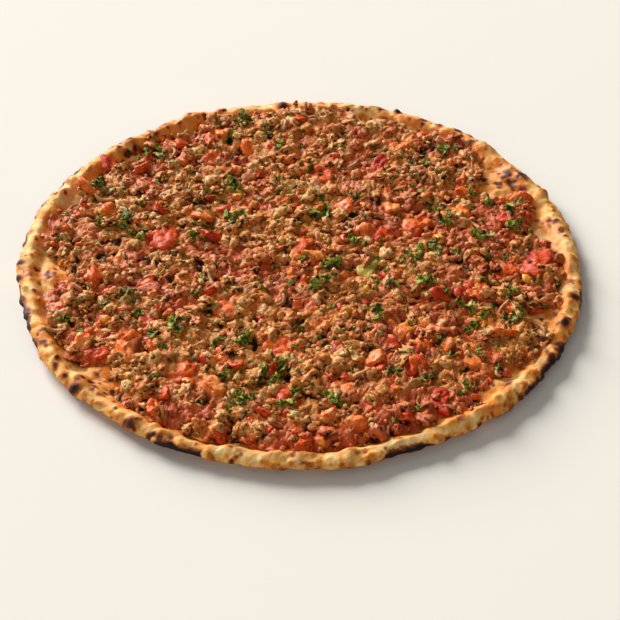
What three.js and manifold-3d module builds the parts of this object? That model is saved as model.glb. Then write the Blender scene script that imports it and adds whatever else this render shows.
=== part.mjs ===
// Lahmacun: a thin round flatbread with a blistered rim, baked under a layer of spiced mince
// in which soft pieces of tomato, pepper and onion lie.
// Millimetres, +Z up. The origin is on the surface that the bread rests on, under its middle.
import * as THREE from "three";
import { mergeVertices } from "three/addons/utils/BufferGeometryUtils.js";
import Module from "manifold-3d";

// The bread's sizes.
const BREAD_RADIUS = 139; // mean radius of the outline
const REST_RADIUS = 112; // the flat underside
const BASE_HEIGHT = 3.2; // the dough under the topping
const CREST_HEIGHT = 7.6; // the rim's crest, before its blisters
const CREST_INSET = 5.5; // from the outline to the crest
const SLOPE_INSET = 12.5; // from the outline to the level base
const EDGE_LIFT = 2.6; // how far the underside curls up at the outline
const LIP_HEIGHT = 2.2; // from the curled underside to the widest point
const DOUGH_STEPS = 108; // steps round the bread
const DOUGH_INSETS = [0.8, 2.4, CREST_INSET, 9, SLOPE_INSET, 17, 24]; // rings of the dough's top

// The topping's sizes.
const MINCE_HEIGHT = 4.4; // the mince above the base
const MINCE_LUMP = 0.9; // how far the mince's top rises and falls
const MINCE_EDGE = 1.4; // the mince's thickness where it thins out on the rim
const MINCE_STEPS = 76; // steps round the mince
const MINCE_SHARES = [1, 0.975, 0.92, 0.8, 0.63, 0.44, 0.22]; // rings of its top
const PIECE_HEIGHT = 6; // a piece of tomato, pepper or onion
const PIECE_STEPS = 8; // steps round a piece
const PIECE_RINGS = [[0.8, 0.06], [1, 0.45], [0.74, 0.92]]; // share out, share up
const GAP = 0.35; // clearance between solids that touch
const SEAT_GAP = 0.5; // round a piece's seat, whose flat walls cut its corners

// Slow waves in the outline, each shallower than the one before it.
const OUTLINE_DEPTH = 1.0; // the first wave
const OUTLINE_COUNTS = [2, 3, 4, 7, 11]; // waves in a turn
const GOLDEN_ANGLE = Math.PI * (3 - Math.sqrt(5)); // sets each wave off against the last

// Blisters on the rim: bearing, distance from the middle, half length round the rim,
// half length across it, and height.
const BLISTERS = [
  [12, 128, 9, 8, 1.8],
  [32, 125, 14, 13, 4.0],
  [44, 134, 5, 5, 1.8],
  [62, 130, 10, 7, 1.8],
  [69, 128, 6, 7, 1.6],
  [118, 132, 8, 8, 2.8],
  [125, 131, 6, 8, 2.0],
  [135, 132, 9, 11, 4.6],
  [148, 131, 8, 7, 2.2],
  [156, 131, 8, 8, 2.4],
  [173, 131, 6, 8, 1.4],
  [184, 122, 10, 10, 3.2],
  [202, 133, 5, 5, 2.4],
  [213, 133, 4, 4, 1.4],
  [222, 125, 11, 10, 4.4],
  [232, 134, 5, 5, 1.4],
  [238, 134, 5, 5, 2.2],
  [258, 131, 9, 5, 1.4],
  [280, 131, 6, 5, 1.6],
  [289, 130, 8, 5, 1.6],
  [302, 131, 6, 8, 2.0],
  [310, 135, 5, 5, 2.0],
  [315, 130, 7, 9, 2.8],
  [323, 133, 5, 9, 2.2],
  [340, 134, 6, 5, 2.4],
  [341, 124, 8, 8, 2.2],
];

// The rim that the mince leaves bare, which widens where a blister keeps the mince off.
const BARE_WIDTH = 9;
const BARE_DEPTH = 1.6; // the first wave in its width
const BARE_COUNTS = [5, 8, 13, 19]; // waves in a turn
const BLISTER_CLEAR = 0.9; // how much of a blister's half length across stays bare

// The pieces in the mince: place (x, y), length, width and the turn of the length from +X.
const TOMATOES = [
  [12, 71, 17, 13, 80],
  [0, 76, 10, 8, 45],
  [-46, 84, 12, 10, 60],
  [-42, 69, 13, 11, 80],
  [-8, 44, 18, 13, 20],
  [-8, 115, 13, 10, 70],
  [56, 97, 14, 10, 30],
  [60, 31, 17, 14, 40],
  [80, 38, 15, 11, 20],
  [108, 36, 20, 12, 40],
  [117, -2, 20, 15, 70],
  [101, -8, 12, 9, 30],
  [46, 21, 11, 10, 0],
  [-68, 18, 19, 13, 75],
  [-55, -15, 15, 11, 0],
  [-32, -33, 22, 17, 70],
  [12, -43, 14, 12, 45],
  [1, 2, 15, 12, 80],
  [-9, -62, 16, 14, 60],
  [-5, -100, 18, 13, 75],
  [30, -105, 15, 13, 70],
  [-95, -67, 12, 10, 20],
  [-83, -56, 11, 10, 60],
  [-98, -52, 14, 9, 50],
  [-38, -70, 14, 11, 60],
  [-55, -79, 14, 10, 60],
  [89, 83, 10, 8, 60],
  [88, -24, 13, 11, 45],
  [81, -68, 15, 10, 100],
  [20, -90, 11, 8, 150],
];
const PEPPERS = [
  [-58, -64, 23, 8, 30],
  [36, -84, 23, 8, 70],
  [54, -48, 20, 8, 30],
  [51, -71, 18, 8, 75],
  [65, -97, 16, 8, 75],
  [42, 79, 15, 8, 70],
  [-87, -29, 17, 8, 80],
  [-72, -40, 18, 8, 75],
  [19, -65, 17, 8, 85],
  [34, -6, 15, 9, 70],
  [85, -47, 14, 10, 70],
];
const ONIONS = [
  [68, -45, 13, 8, 70],
  [65, -22, 12, 8, 20],
];
const BEND = { tomato: 0, pepper: 0.35, onion: 0.4 }; // how far a piece's length curves

const wasm = await Module();
wasm.setup();

const { degToRad, lerp } = THREE.MathUtils;

// Repeatable numbers from 0 to 1.
function seeded(seed) {
  let state = seed >>> 0;
  return () => {
    state = (Math.imul(state, 1664525) + 1013904223) >>> 0;
    return state / 2 ** 32;
  };
}

// A closed geometry as a manifold solid.
function solidOf(geometry) {
  const merged = mergeVertices(geometry, 1e-4);
  return new wasm.Manifold(
    new wasm.Mesh({
      numProp: 3,
      vertProperties: merged.getAttribute("position").array,
      triVerts: new Uint32Array(merged.getIndex().array),
    }),
  );
}

// The largest body of a manifold solid, as a geometry.
function geometryOf(solid) {
  const body = solid.decompose().sort((a, b) => b.volume() - a.volume())[0];
  const { vertProperties, triVerts } = body.getMesh();
  return new THREE.BufferGeometry()
    .setAttribute("position", new THREE.BufferAttribute(vertProperties, 3))
    .setIndex(new THREE.BufferAttribute(triVerts, 1));
}

// A closed skin over rings of points, from a point under the first to a point over the last.
// Each ring gives the point [x, y, z] at a bearing.
function ringed(rings, steps, bottom, top) {
  const points = [...bottom];
  for (const ring of rings)
    for (let i = 0; i < steps; i++) points.push(...ring((2 * Math.PI * i) / steps));
  points.push(...top);
  const last = points.length / 3 - 1;
  const at = (ring, i) => 1 + ring * steps + (i % steps);
  const faces = [];
  for (let i = 0; i < steps; i++) {
    faces.push(0, at(0, i + 1), at(0, i));
    faces.push(last, at(rings.length - 1, i), at(rings.length - 1, i + 1));
    for (let ring = 0; ring < rings.length - 1; ring++) {
      const [a, b] = [at(ring, i), at(ring, i + 1)];
      const [c, d] = [at(ring + 1, i), at(ring + 1, i + 1)];
      faces.push(a, b, d, a, d, c);
    }
  }
  return new THREE.BufferGeometry()
    .setAttribute("position", new THREE.Float32BufferAttribute(points, 3))
    .setIndex(faces);
}

function polar(distance, bearing, height) {
  return [distance * Math.cos(bearing), distance * Math.sin(bearing), height];
}

// Waves round the bread, whose depths and starts follow from the first one's depth.
function waves(bearing, depth, counts) {
  return counts.reduce(
    (sum, count, i) => sum + (depth / Math.sqrt(i + 1)) * Math.cos(count * bearing - i * GOLDEN_ANGLE),
    0,
  );
}

// The bread's radius at a bearing.
function outline(bearing) {
  return BREAD_RADIUS + waves(bearing, OUTLINE_DEPTH, OUTLINE_COUNTS);
}

// How far round the rim a bearing is from a blister's middle, in its half lengths.
function offsetRound(bearing, [middle, out, along]) {
  const turn = bearing - degToRad(middle);
  return (Math.atan2(Math.sin(turn), Math.cos(turn)) * out) / along;
}

// What the blisters add to the dough's height.
function blisterHeight(bearing, distance) {
  return BLISTERS.reduce((sum, blister) => {
    const [, out, , across, height] = blister;
    const offset = Math.hypot(offsetRound(bearing, blister), (distance - out) / across);
    return sum + height * Math.exp(-1.4 * offset ** 2);
  }, 0);
}

// The dough's top without its blisters: the rim rounds over its crest and runs down to the base.
function rimHeight(inset) {
  if (inset >= CREST_INSET) {
    const share = Math.min(1, (inset - CREST_INSET) / (SLOPE_INSET - CREST_INSET));
    return lerp(BASE_HEIGHT, CREST_HEIGHT, 0.5 + 0.5 * Math.cos(Math.PI * share));
  }
  const share = 1 - inset / CREST_INSET;
  return lerp(EDGE_LIFT + LIP_HEIGHT, CREST_HEIGHT, Math.sqrt(1 - share ** 2));
}

function doughTop(bearing, distance) {
  return rimHeight(outline(bearing) - distance) + blisterHeight(bearing, distance);
}

// The flatbread. raise lifts its top, for cutting what lies on it clear of it.
function dough(raise = 0) {
  const top = (inset) => (bearing) => {
    const distance = outline(bearing) - inset;
    return polar(distance, bearing, doughTop(bearing, distance) + raise);
  };
  const under = (inset, height) => (bearing) => polar(outline(bearing) - inset, bearing, height);
  const rings = [
    (bearing) => polar(REST_RADIUS, bearing, 0),
    under(13, EDGE_LIFT * 0.3),
    under(3, EDGE_LIFT * 0.85),
    under(-raise, EDGE_LIFT + LIP_HEIGHT * 0.6),
    ...DOUGH_INSETS.map(top),
  ];
  return ringed(rings, DOUGH_STEPS, [0, 0, 0], [0, 0, BASE_HEIGHT + raise]);
}

// The topping's radius at a bearing.
function toppingRadius(bearing) {
  const plain = BARE_WIDTH + waves(bearing, BARE_DEPTH, BARE_COUNTS);
  const bare = BLISTERS.reduce((width, blister) => {
    const [, out, , across] = blister;
    const reach = outline(bearing) - out + BLISTER_CLEAR * across;
    return Math.max(width, reach * Math.exp(-0.5 * offsetRound(bearing, blister) ** 4));
  }, plain);
  return outline(bearing) - bare;
}

// The mince's own unevenness, from -1 to 1.
function lump(x, y) {
  return (
    0.45 * Math.sin(x / 6.1 + 1.7 * Math.sin(y / 17)) +
    0.35 * Math.cos(y / 5.3 + 1.3 * Math.cos(x / 13)) +
    0.2 * Math.sin((x + y) / 3.7)
  );
}

// The mince before the dough and the pieces are cut out of it.
function minceBlank() {
  const top = (share) => (bearing) => {
    const distance = toppingRadius(bearing) * share;
    const [x, y] = polar(distance, bearing, 0);
    const full = Math.sin((Math.PI / 2) * Math.min(1, (1 - share) / 0.1));
    const thickness = lerp(MINCE_EDGE, MINCE_HEIGHT, full) + MINCE_LUMP * full * lump(x, y);
    return [x, y, doughTop(bearing, distance) + thickness];
  };
  const rings = [(bearing) => polar(toppingRadius(bearing), bearing, 1), ...MINCE_SHARES.map(top)];
  return ringed(rings, MINCE_STEPS, [0, 0, 1], [0, 0, BASE_HEIGHT + MINCE_HEIGHT]);
}

// One ring of a soft piece: an uneven, rounded oblong that may curve along its length.
function pieceRing([x, y, length, width, turn], share, height, bend, uneven, grow) {
  return (bearing) => {
    const [c, s] = [Math.cos(bearing), Math.sin(bearing)];
    const squared = (Math.abs(c) ** 3 + Math.abs(s) ** 3) ** (-1 / 3);
    const out = share * squared * uneven(bearing);
    const along = c * (out * length * 0.5 + grow);
    const curve = bend * width * (0.35 - (2 * along / length) ** 2);
    const point = new THREE.Vector3(along, s * (out * width * 0.5 + grow) + curve, height);
    point.applyAxisAngle(new THREE.Vector3(0, 0, 1), degToRad(turn));
    return [x + point.x, y + point.y, height];
  };
}

// A soft piece lying on the dough, and the upright seat that it takes up.
function pieceAndSeat(place, bend, seed) {
  const random = seeded(seed);
  const [phase, depth] = [2 * Math.PI * random(), 0.05 + 0.05 * random()];
  const uneven = (bearing) => 0.95 + depth * Math.sin(2 * bearing + phase);
  const floor = BASE_HEIGHT + GAP;
  const slope = 0.14 * (random() - 0.5);
  const rings = PIECE_RINGS.map(([share, up]) => {
    const ring = pieceRing(place, share, 0, bend, uneven, 0);
    return (bearing) => {
      const [x, y] = ring(bearing);
      const lean = up * slope * (x - place[0]);
      return [x, y, floor + up * PIECE_HEIGHT + lean];
    };
  });
  const [x, y] = place;
  const body = ringed(rings, PIECE_STEPS, [x, y, floor], [x, y, floor + PIECE_HEIGHT]);
  const wall = (height) => pieceRing(place, 1, height, bend, uneven, SEAT_GAP);
  const [low, high] = [BASE_HEIGHT - 1, BASE_HEIGHT + 3 * PIECE_HEIGHT];
  const seat = ringed([wall(low), wall(high)], PIECE_STEPS, [x, y, low], [x, y, high]);
  return { body: solidOf(body), seat: solidOf(seat) };
}

// The pieces of one kind, each cut clear of the dough and of the pieces before it.
function piecesOf(kind, places, firstSeed, breadCutter, seats) {
  return places.map((place, i) => {
    const { body, seat } = pieceAndSeat(place, BEND[kind], firstSeed + i);
    const clear = seats.reduce((solid, other) => solid.subtract(other), body.subtract(breadCutter));
    seats.push(seat);
    return { name: `${kind}_${String(i + 1).padStart(2, "0")}`, geometry: geometryOf(clear) };
  });
}

function meshOf(name, geometry, color, roughness) {
  const material = new THREE.MeshStandardMaterial({ color, roughness, metalness: 0 });
  const mesh = new THREE.Mesh(geometry, material);
  mesh.name = name;
  return mesh;
}

function lahmacun() {
  const group = new THREE.Group();
  const breadCutter = solidOf(dough(GAP));
  const seats = [];
  const kinds = [
    { color: 0xc8401c, made: piecesOf("tomato", TOMATOES, 11, breadCutter, seats) },
    { color: 0xc23214, made: piecesOf("pepper", PEPPERS, 71, breadCutter, seats) },
    { color: 0xe0c49a, made: piecesOf("onion", ONIONS, 101, breadCutter, seats) },
  ];
  const mince = solidOf(minceBlank()).subtract(breadCutter).subtract(wasm.Manifold.union(seats));
  group.add(meshOf("dough_base", dough(), 0xe6b877, 0.75));
  group.add(meshOf("mince_layer", geometryOf(mince), 0x9a5a38, 0.6));
  for (const { color, made } of kinds)
    for (const { name, geometry } of made) group.add(meshOf(name, geometry, color, 0.35));
  const middle = new THREE.Box3().setFromObject(group).getCenter(new THREE.Vector3());
  group.position.set(-middle.x, -middle.y, 0);
  return group;
}

export default lahmacun();
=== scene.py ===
"""A lahmacun: a thin round flatbread baked under spiced mince, tomato, pepper, onion and parsley.

Shapes are worked out in millimetres and handed to Blender in metres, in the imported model's frame:
+Z is up and the origin is on the surface that the bread rests on, under its middle.
"""

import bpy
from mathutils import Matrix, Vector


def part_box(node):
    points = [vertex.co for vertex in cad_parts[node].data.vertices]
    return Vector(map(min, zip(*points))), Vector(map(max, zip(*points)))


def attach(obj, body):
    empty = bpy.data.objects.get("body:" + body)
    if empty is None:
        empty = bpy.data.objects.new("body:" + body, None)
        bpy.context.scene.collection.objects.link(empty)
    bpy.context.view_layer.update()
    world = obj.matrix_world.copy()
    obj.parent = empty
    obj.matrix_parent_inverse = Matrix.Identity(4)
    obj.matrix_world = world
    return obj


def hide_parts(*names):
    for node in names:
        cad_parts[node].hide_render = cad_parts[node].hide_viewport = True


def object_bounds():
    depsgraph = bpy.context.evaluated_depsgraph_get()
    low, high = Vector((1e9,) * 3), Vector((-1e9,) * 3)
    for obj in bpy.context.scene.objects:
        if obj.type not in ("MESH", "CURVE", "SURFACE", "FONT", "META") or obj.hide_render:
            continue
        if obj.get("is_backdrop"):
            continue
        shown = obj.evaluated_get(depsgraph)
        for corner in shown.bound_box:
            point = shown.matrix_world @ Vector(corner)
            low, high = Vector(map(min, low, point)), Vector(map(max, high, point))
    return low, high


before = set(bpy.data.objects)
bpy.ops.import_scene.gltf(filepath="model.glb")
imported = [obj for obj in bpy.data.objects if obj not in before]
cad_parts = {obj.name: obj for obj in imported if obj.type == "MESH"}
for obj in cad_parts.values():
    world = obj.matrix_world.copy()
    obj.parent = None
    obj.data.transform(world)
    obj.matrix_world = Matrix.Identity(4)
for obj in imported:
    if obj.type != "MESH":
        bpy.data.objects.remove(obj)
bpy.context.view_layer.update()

import logging
import math
from dataclasses import dataclass, field
from enum import Enum
from typing import Callable, Sequence

import bpy
import numpy as np
from mathutils import Vector
from mathutils.kdtree import KDTree

Array = np.ndarray
TwoArrays = tuple[Array, Array]
ThreeArrays = tuple[Array, Array, Array]
Draw = np.random.Generator
Material = bpy.types.Material
Span = tuple[float, float]
Triple = tuple[float, float, float]
Colour = tuple[float, float, float, float]
Grain = tuple[float, ...]
Stops = tuple[tuple[float, str], ...]
MM = 0.001
TURN = 2 * math.pi
log = logging.getLogger("lahmacun")


def colour(code: str) -> Colour:
    """A colour from a six-digit code, as the linear values that shaders take.

    Args:
        code: Red, green and blue as two hexadecimal digits each.

    Returns:
        Linear red, green, blue and an alpha of 1.
    """
    shares = [int(code[i:i + 2], 16) / 255 for i in (0, 2, 4)]
    linear = [s / 12.92 if s <= 0.04045 else ((s + 0.055) / 1.055) ** 2.4 for s in shares]
    return (linear[0], linear[1], linear[2], 1.0)


def ease(values: Array, low: float, high: float) -> Array:
    """A soft step from 0 to 1.

    Args:
        values: What is stepped.
        low: The value that gives 0.
        high: The value that gives 1.

    Returns:
        A number from 0 to 1 for each value.
    """
    share = np.clip((values - low) / (high - low), 0, 1)
    return share * share * (3 - 2 * share)


def blend(low: Array | float, high: Array | float, share: Array | float) -> Array:
    """Goes in a straight line from low, at share 0, to high, at share 1."""
    return low + (high - low) * share


def polar(centre: Array, distance: Array, bearing: Array) -> TwoArrays:
    """The x and y of points at a distance and bearing from a centre."""
    return centre[0] + distance * np.cos(bearing), centre[1] + distance * np.sin(bearing)


def along_axes(x: Array, y: Array, turn: float) -> TwoArrays:
    """How far places lie along and across an axis turned from +X, by an angle in radians."""
    c, s = math.cos(turn), math.sin(turn)
    return x * c + y * s, y * c - x * s


def spot_distance(flat: Array, x: float, y: float, turn: float, along: float, across: float) -> Array:
    """How far places are from a spot's middle, in its half lengths.

    Args:
        flat: The places, one row each.
        x: The middle's x.
        y: The middle's y.
        turn: How far the spot's length is turned from +X, in radians.
        along: Its half length.
        across: Its half width.

    Returns:
        A distance for each place, which is 1 on the spot's edge.
    """
    lengthways, sideways = along_axes(flat[:, 0] - x, flat[:, 1] - y, turn)
    return np.hypot(lengthways / along, sideways / across)


class Noise:
    """Repeatable smooth unevenness over points in millimetres."""

    PRIMES = (73856093, 19349663, 83492791)

    def __init__(self, seed: int) -> None:
        """Keeps the seed that tells one noise from another."""
        self.seed = seed

    def _pick(self, cells: Array, channel: int = 0) -> Array:
        """One repeatable number from 0 to 1 for each cell.

        Args:
            cells: Whole-number cell places, one row each.
            channel: Tells several numbers of one cell apart.

        Returns:
            A number for each cell.
        """
        key = np.full(cells.shape[:-1], (self.seed * 2654435761 + channel * 40503) & 0xFFFFFFFF, np.uint64)
        for axis in range(cells.shape[-1]):
            key ^= (cells[..., axis].astype(np.int64) * self.PRIMES[axis]).astype(np.uint64) & 0xFFFFFFFF
        for shift, factor in ((16, 0x7FEB352D), (15, 0x846CA68B)):
            key = ((key ^ (key >> np.uint64(shift))) * np.uint64(factor)) & np.uint64(0xFFFFFFFF)
        return (key ^ (key >> np.uint64(16))) / float(2 ** 32)

    def smooth(self, points: Array, size: float) -> Array:
        """Smooth noise with bumps of about one size.

        Args:
            points: Places in millimetres, one row each, in two or three dimensions.
            size: How far apart the bumps are.

        Returns:
            A number from -1 to 1 for each point.
        """
        place = points / size + self.seed * 0.37
        base = np.floor(place)
        part = place - base
        part = part ** 3 * (part * (part * 6 - 15) + 10)
        total = np.zeros(len(points))
        dims = points.shape[-1]
        for corner in np.ndindex(*(2,) * dims):
            weight = np.prod(np.where(np.array(corner), part, 1 - part), axis=-1)
            total += weight * self._pick(base + np.array(corner))
        return 2 * total - 1

    def layered(self, points: Array, size: float, layers: int = 3) -> Array:
        """Smooth noise with finer noise on it, each layer half as large and half as strong."""
        return sum(Noise(self.seed + 7 * k).smooth(points, size / 2 ** k) / 2 ** k for k in range(layers))

    def lumps(self, points: Array, size: float) -> TwoArrays:
        """Packed round lumps in the plane.

        Args:
            points: Places in millimetres, of which x and y count.
            size: How far apart the lumps are.

        Returns:
            How high each point is on its lump, from 0 where lumps meet to 1 on top, and a number from 0
            to 1 that tells its lump from the others.
        """
        place = points[:, :2] / size
        base = np.floor(place)
        first = np.full(len(place), np.inf)
        tag = np.zeros(len(place))
        for step in np.ndindex(3, 3):
            cell = base + np.array(step) - 1
            middle = cell + np.stack([self._pick(cell, 1), self._pick(cell, 2)], -1)
            away = np.linalg.norm(place - middle, axis=-1)
            nearer = away < first
            tag = np.where(nearer, self._pick(cell, 3), tag)
            first = np.where(nearer, away, first)
        return np.clip(1 - first ** 2, 0, 1), tag


@dataclass(frozen=True)
class Uneven:
    """Layered noise of one seed, bump size in millimetres, number of layers and strength."""

    seed: int
    size: float
    layers: int = 2
    strength: float = 1.0

    def at(self, points: Array) -> Array:
        """The noise at points, one row each."""
        return self.strength * Noise(self.seed).layered(points, self.size, self.layers)

    def over(self, x: Array, y: Array) -> Array:
        """The noise at places in the plane, in their own shape."""
        return self.at(np.stack([x.ravel(), y.ravel()], -1)).reshape(x.shape)


@dataclass
class Shape:
    """A mesh in millimetres: its points, its triangles and what varies from point to point."""

    points: Array
    faces: Array
    marks: dict[str, Array] = field(default_factory=dict)

    @staticmethod
    def joined(shapes: Sequence["Shape"]) -> "Shape":
        """Several shapes as one.

        Args:
            shapes: Shapes that all carry the same marks.

        Returns:
            One shape that holds them all.
        """
        starts = np.cumsum([0] + [len(s.points) for s in shapes[:-1]])
        faces = np.concatenate([s.faces + start for s, start in zip(shapes, starts)])
        marks = {key: np.concatenate([s.marks[key] for s in shapes]) for key in shapes[0].marks}
        return Shape(np.concatenate([s.points for s in shapes]), faces, marks)

    def normals(self) -> Array:
        """The outward direction at each point."""
        corners = self.points[self.faces]
        flat = np.cross(corners[:, 1] - corners[:, 0], corners[:, 2] - corners[:, 0])
        total = np.zeros_like(self.points)
        for k in range(3):
            np.add.at(total, self.faces[:, k], flat)
        return total / np.maximum(np.linalg.norm(total, axis=1, keepdims=True), 1e-12)

    def piece(self, name: str, finish: Material, slot: str, nodes: Sequence[str] = ()) -> None:
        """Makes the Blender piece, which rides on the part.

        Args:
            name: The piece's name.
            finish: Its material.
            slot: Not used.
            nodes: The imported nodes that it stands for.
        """
        mesh = bpy.data.meshes.new(name)
        mesh.vertices.add(len(self.points))
        mesh.vertices.foreach_set("co", (self.points * MM).astype(np.float32).ravel())
        mesh.loops.add(self.faces.size)
        mesh.loops.foreach_set("vertex_index", self.faces.astype(np.int32).ravel())
        mesh.polygons.add(len(self.faces))
        mesh.polygons.foreach_set("loop_start", np.arange(0, self.faces.size, 3, dtype=np.int32))
        mesh.update(calc_edges=True)
        mesh.validate()
        mesh.shade_smooth()
        for key, values in self.marks.items():
            mesh.attributes.new(key, "FLOAT", "POINT").data.foreach_set("value", values.astype(np.float32))
        made = bpy.data.objects.new(name, mesh)
        bpy.context.scene.collection.objects.link(made)
        made.data.materials.append(finish)
        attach(made, "root")
        if nodes:
            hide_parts(*nodes)
        log.info("%s: %d triangles", name, len(self.faces))


def ring_faces(rings: int, steps: int, first: int = 0) -> Array:
    """Triangles of a skin over closed rings of points.

    Args:
        rings: How many rings.
        steps: Points in each ring.
        first: The first ring's first point.

    Returns:
        The triangles.
    """
    ring, step = np.meshgrid(np.arange(rings - 1), np.arange(steps), indexing="ij")
    after = (step + 1) % steps
    a, b = first + ring * steps + step, first + ring * steps + after
    c, d = a + steps, b + steps
    return np.concatenate([np.stack([a, b, d], -1).reshape(-1, 3), np.stack([a, d, c], -1).reshape(-1, 3)])


def fan_faces(middle: int, start: int, steps: int, flip: bool) -> Array:
    """Triangles from one middle point to a closed ring of points, turned over where flip is set."""
    step = np.arange(steps)
    pair = [start + step, start + (step + 1) % steps]
    return np.stack([np.full(steps, middle), *(pair[::-1] if flip else pair)], -1)


def ball(level: int) -> Shape:
    """A round ball of even triangles.

    Args:
        level: How often the first twenty triangles are split in four.

    Returns:
        The ball, of radius 1.
    """
    golden = (1 + math.sqrt(5)) / 2
    rows = [(0, s, t * golden) for s in (-1, 1) for t in (-1, 1)]
    points = np.array([np.roll(row, k) for row in rows for k in range(3)], float)
    apart = np.linalg.norm(points[:, None] - points[None], axis=-1)
    near = (apart > 0) & (apart < golden * 1.3)
    faces = np.array([(i, j, k) for i in range(12) for j in range(i + 1, 12) for k in range(j + 1, 12)
                      if near[i, j] and near[j, k] and near[i, k]])
    inward = np.einsum("ij,ij->i", np.cross(points[faces[:, 1]] - points[faces[:, 0]],
                                            points[faces[:, 2]] - points[faces[:, 0]]),
                       points[faces].sum(1)) < 0
    faces[inward] = faces[inward][:, ::-1]
    for _ in range(level):
        sides = np.sort(faces[:, [0, 1, 1, 2, 2, 0]].reshape(-1, 2), axis=1)
        unique, where = np.unique(sides, axis=0, return_inverse=True)
        halves = where.reshape(-1, 3) + len(points)
        points = np.concatenate([points, points[unique].mean(1)])
        a, b, c = faces.T
        ab, bc, ca = halves.T
        quarters = ((a, ab, ca), (ab, b, bc), (ca, bc, c), (ab, bc, ca))
        faces = np.concatenate([np.stack(corners, -1) for corners in quarters])
    return Shape(points / np.linalg.norm(points, axis=1, keepdims=True), faces)


# ---- Shader graphs


class Wire:
    """A shader value that Python's own operators work on by adding Math nodes."""

    def __init__(self, graph: "Graph", socket: bpy.types.NodeSocket) -> None:
        """Keeps the graph and the socket that the value comes out of."""
        self.graph = graph
        self.socket = socket

    def _join(self, operation: str, first: "Value", second: "Value") -> "Wire":
        """A Math node's result on two values."""
        return self.graph.node("ShaderNodeMath", {"operation": operation}, {0: first, 1: second})

    def __add__(self, other: "Value") -> "Wire":
        """This value and another, added."""
        return self._join("ADD", self, other)

    def __mul__(self, other: "Value") -> "Wire":
        """This value times another."""
        return self._join("MULTIPLY", self, other)

    def __sub__(self, other: "Value") -> "Wire":
        """This value less another."""
        return self._join("SUBTRACT", self, other)

    def __rsub__(self, other: "Value") -> "Wire":
        """Another value less this one."""
        return self._join("SUBTRACT", other, self)

    __radd__ = __add__
    __rmul__ = __mul__

    def eased(self, low: float, high: float) -> "Wire":
        """A soft step from 0 at low to 1 at high."""
        settings = {"interpolation_type": "SMOOTHSTEP"}
        return self.graph.node("ShaderNodeMapRange", settings, {0: self, 1: low, 2: high})


Value = Wire | float | tuple


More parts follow.
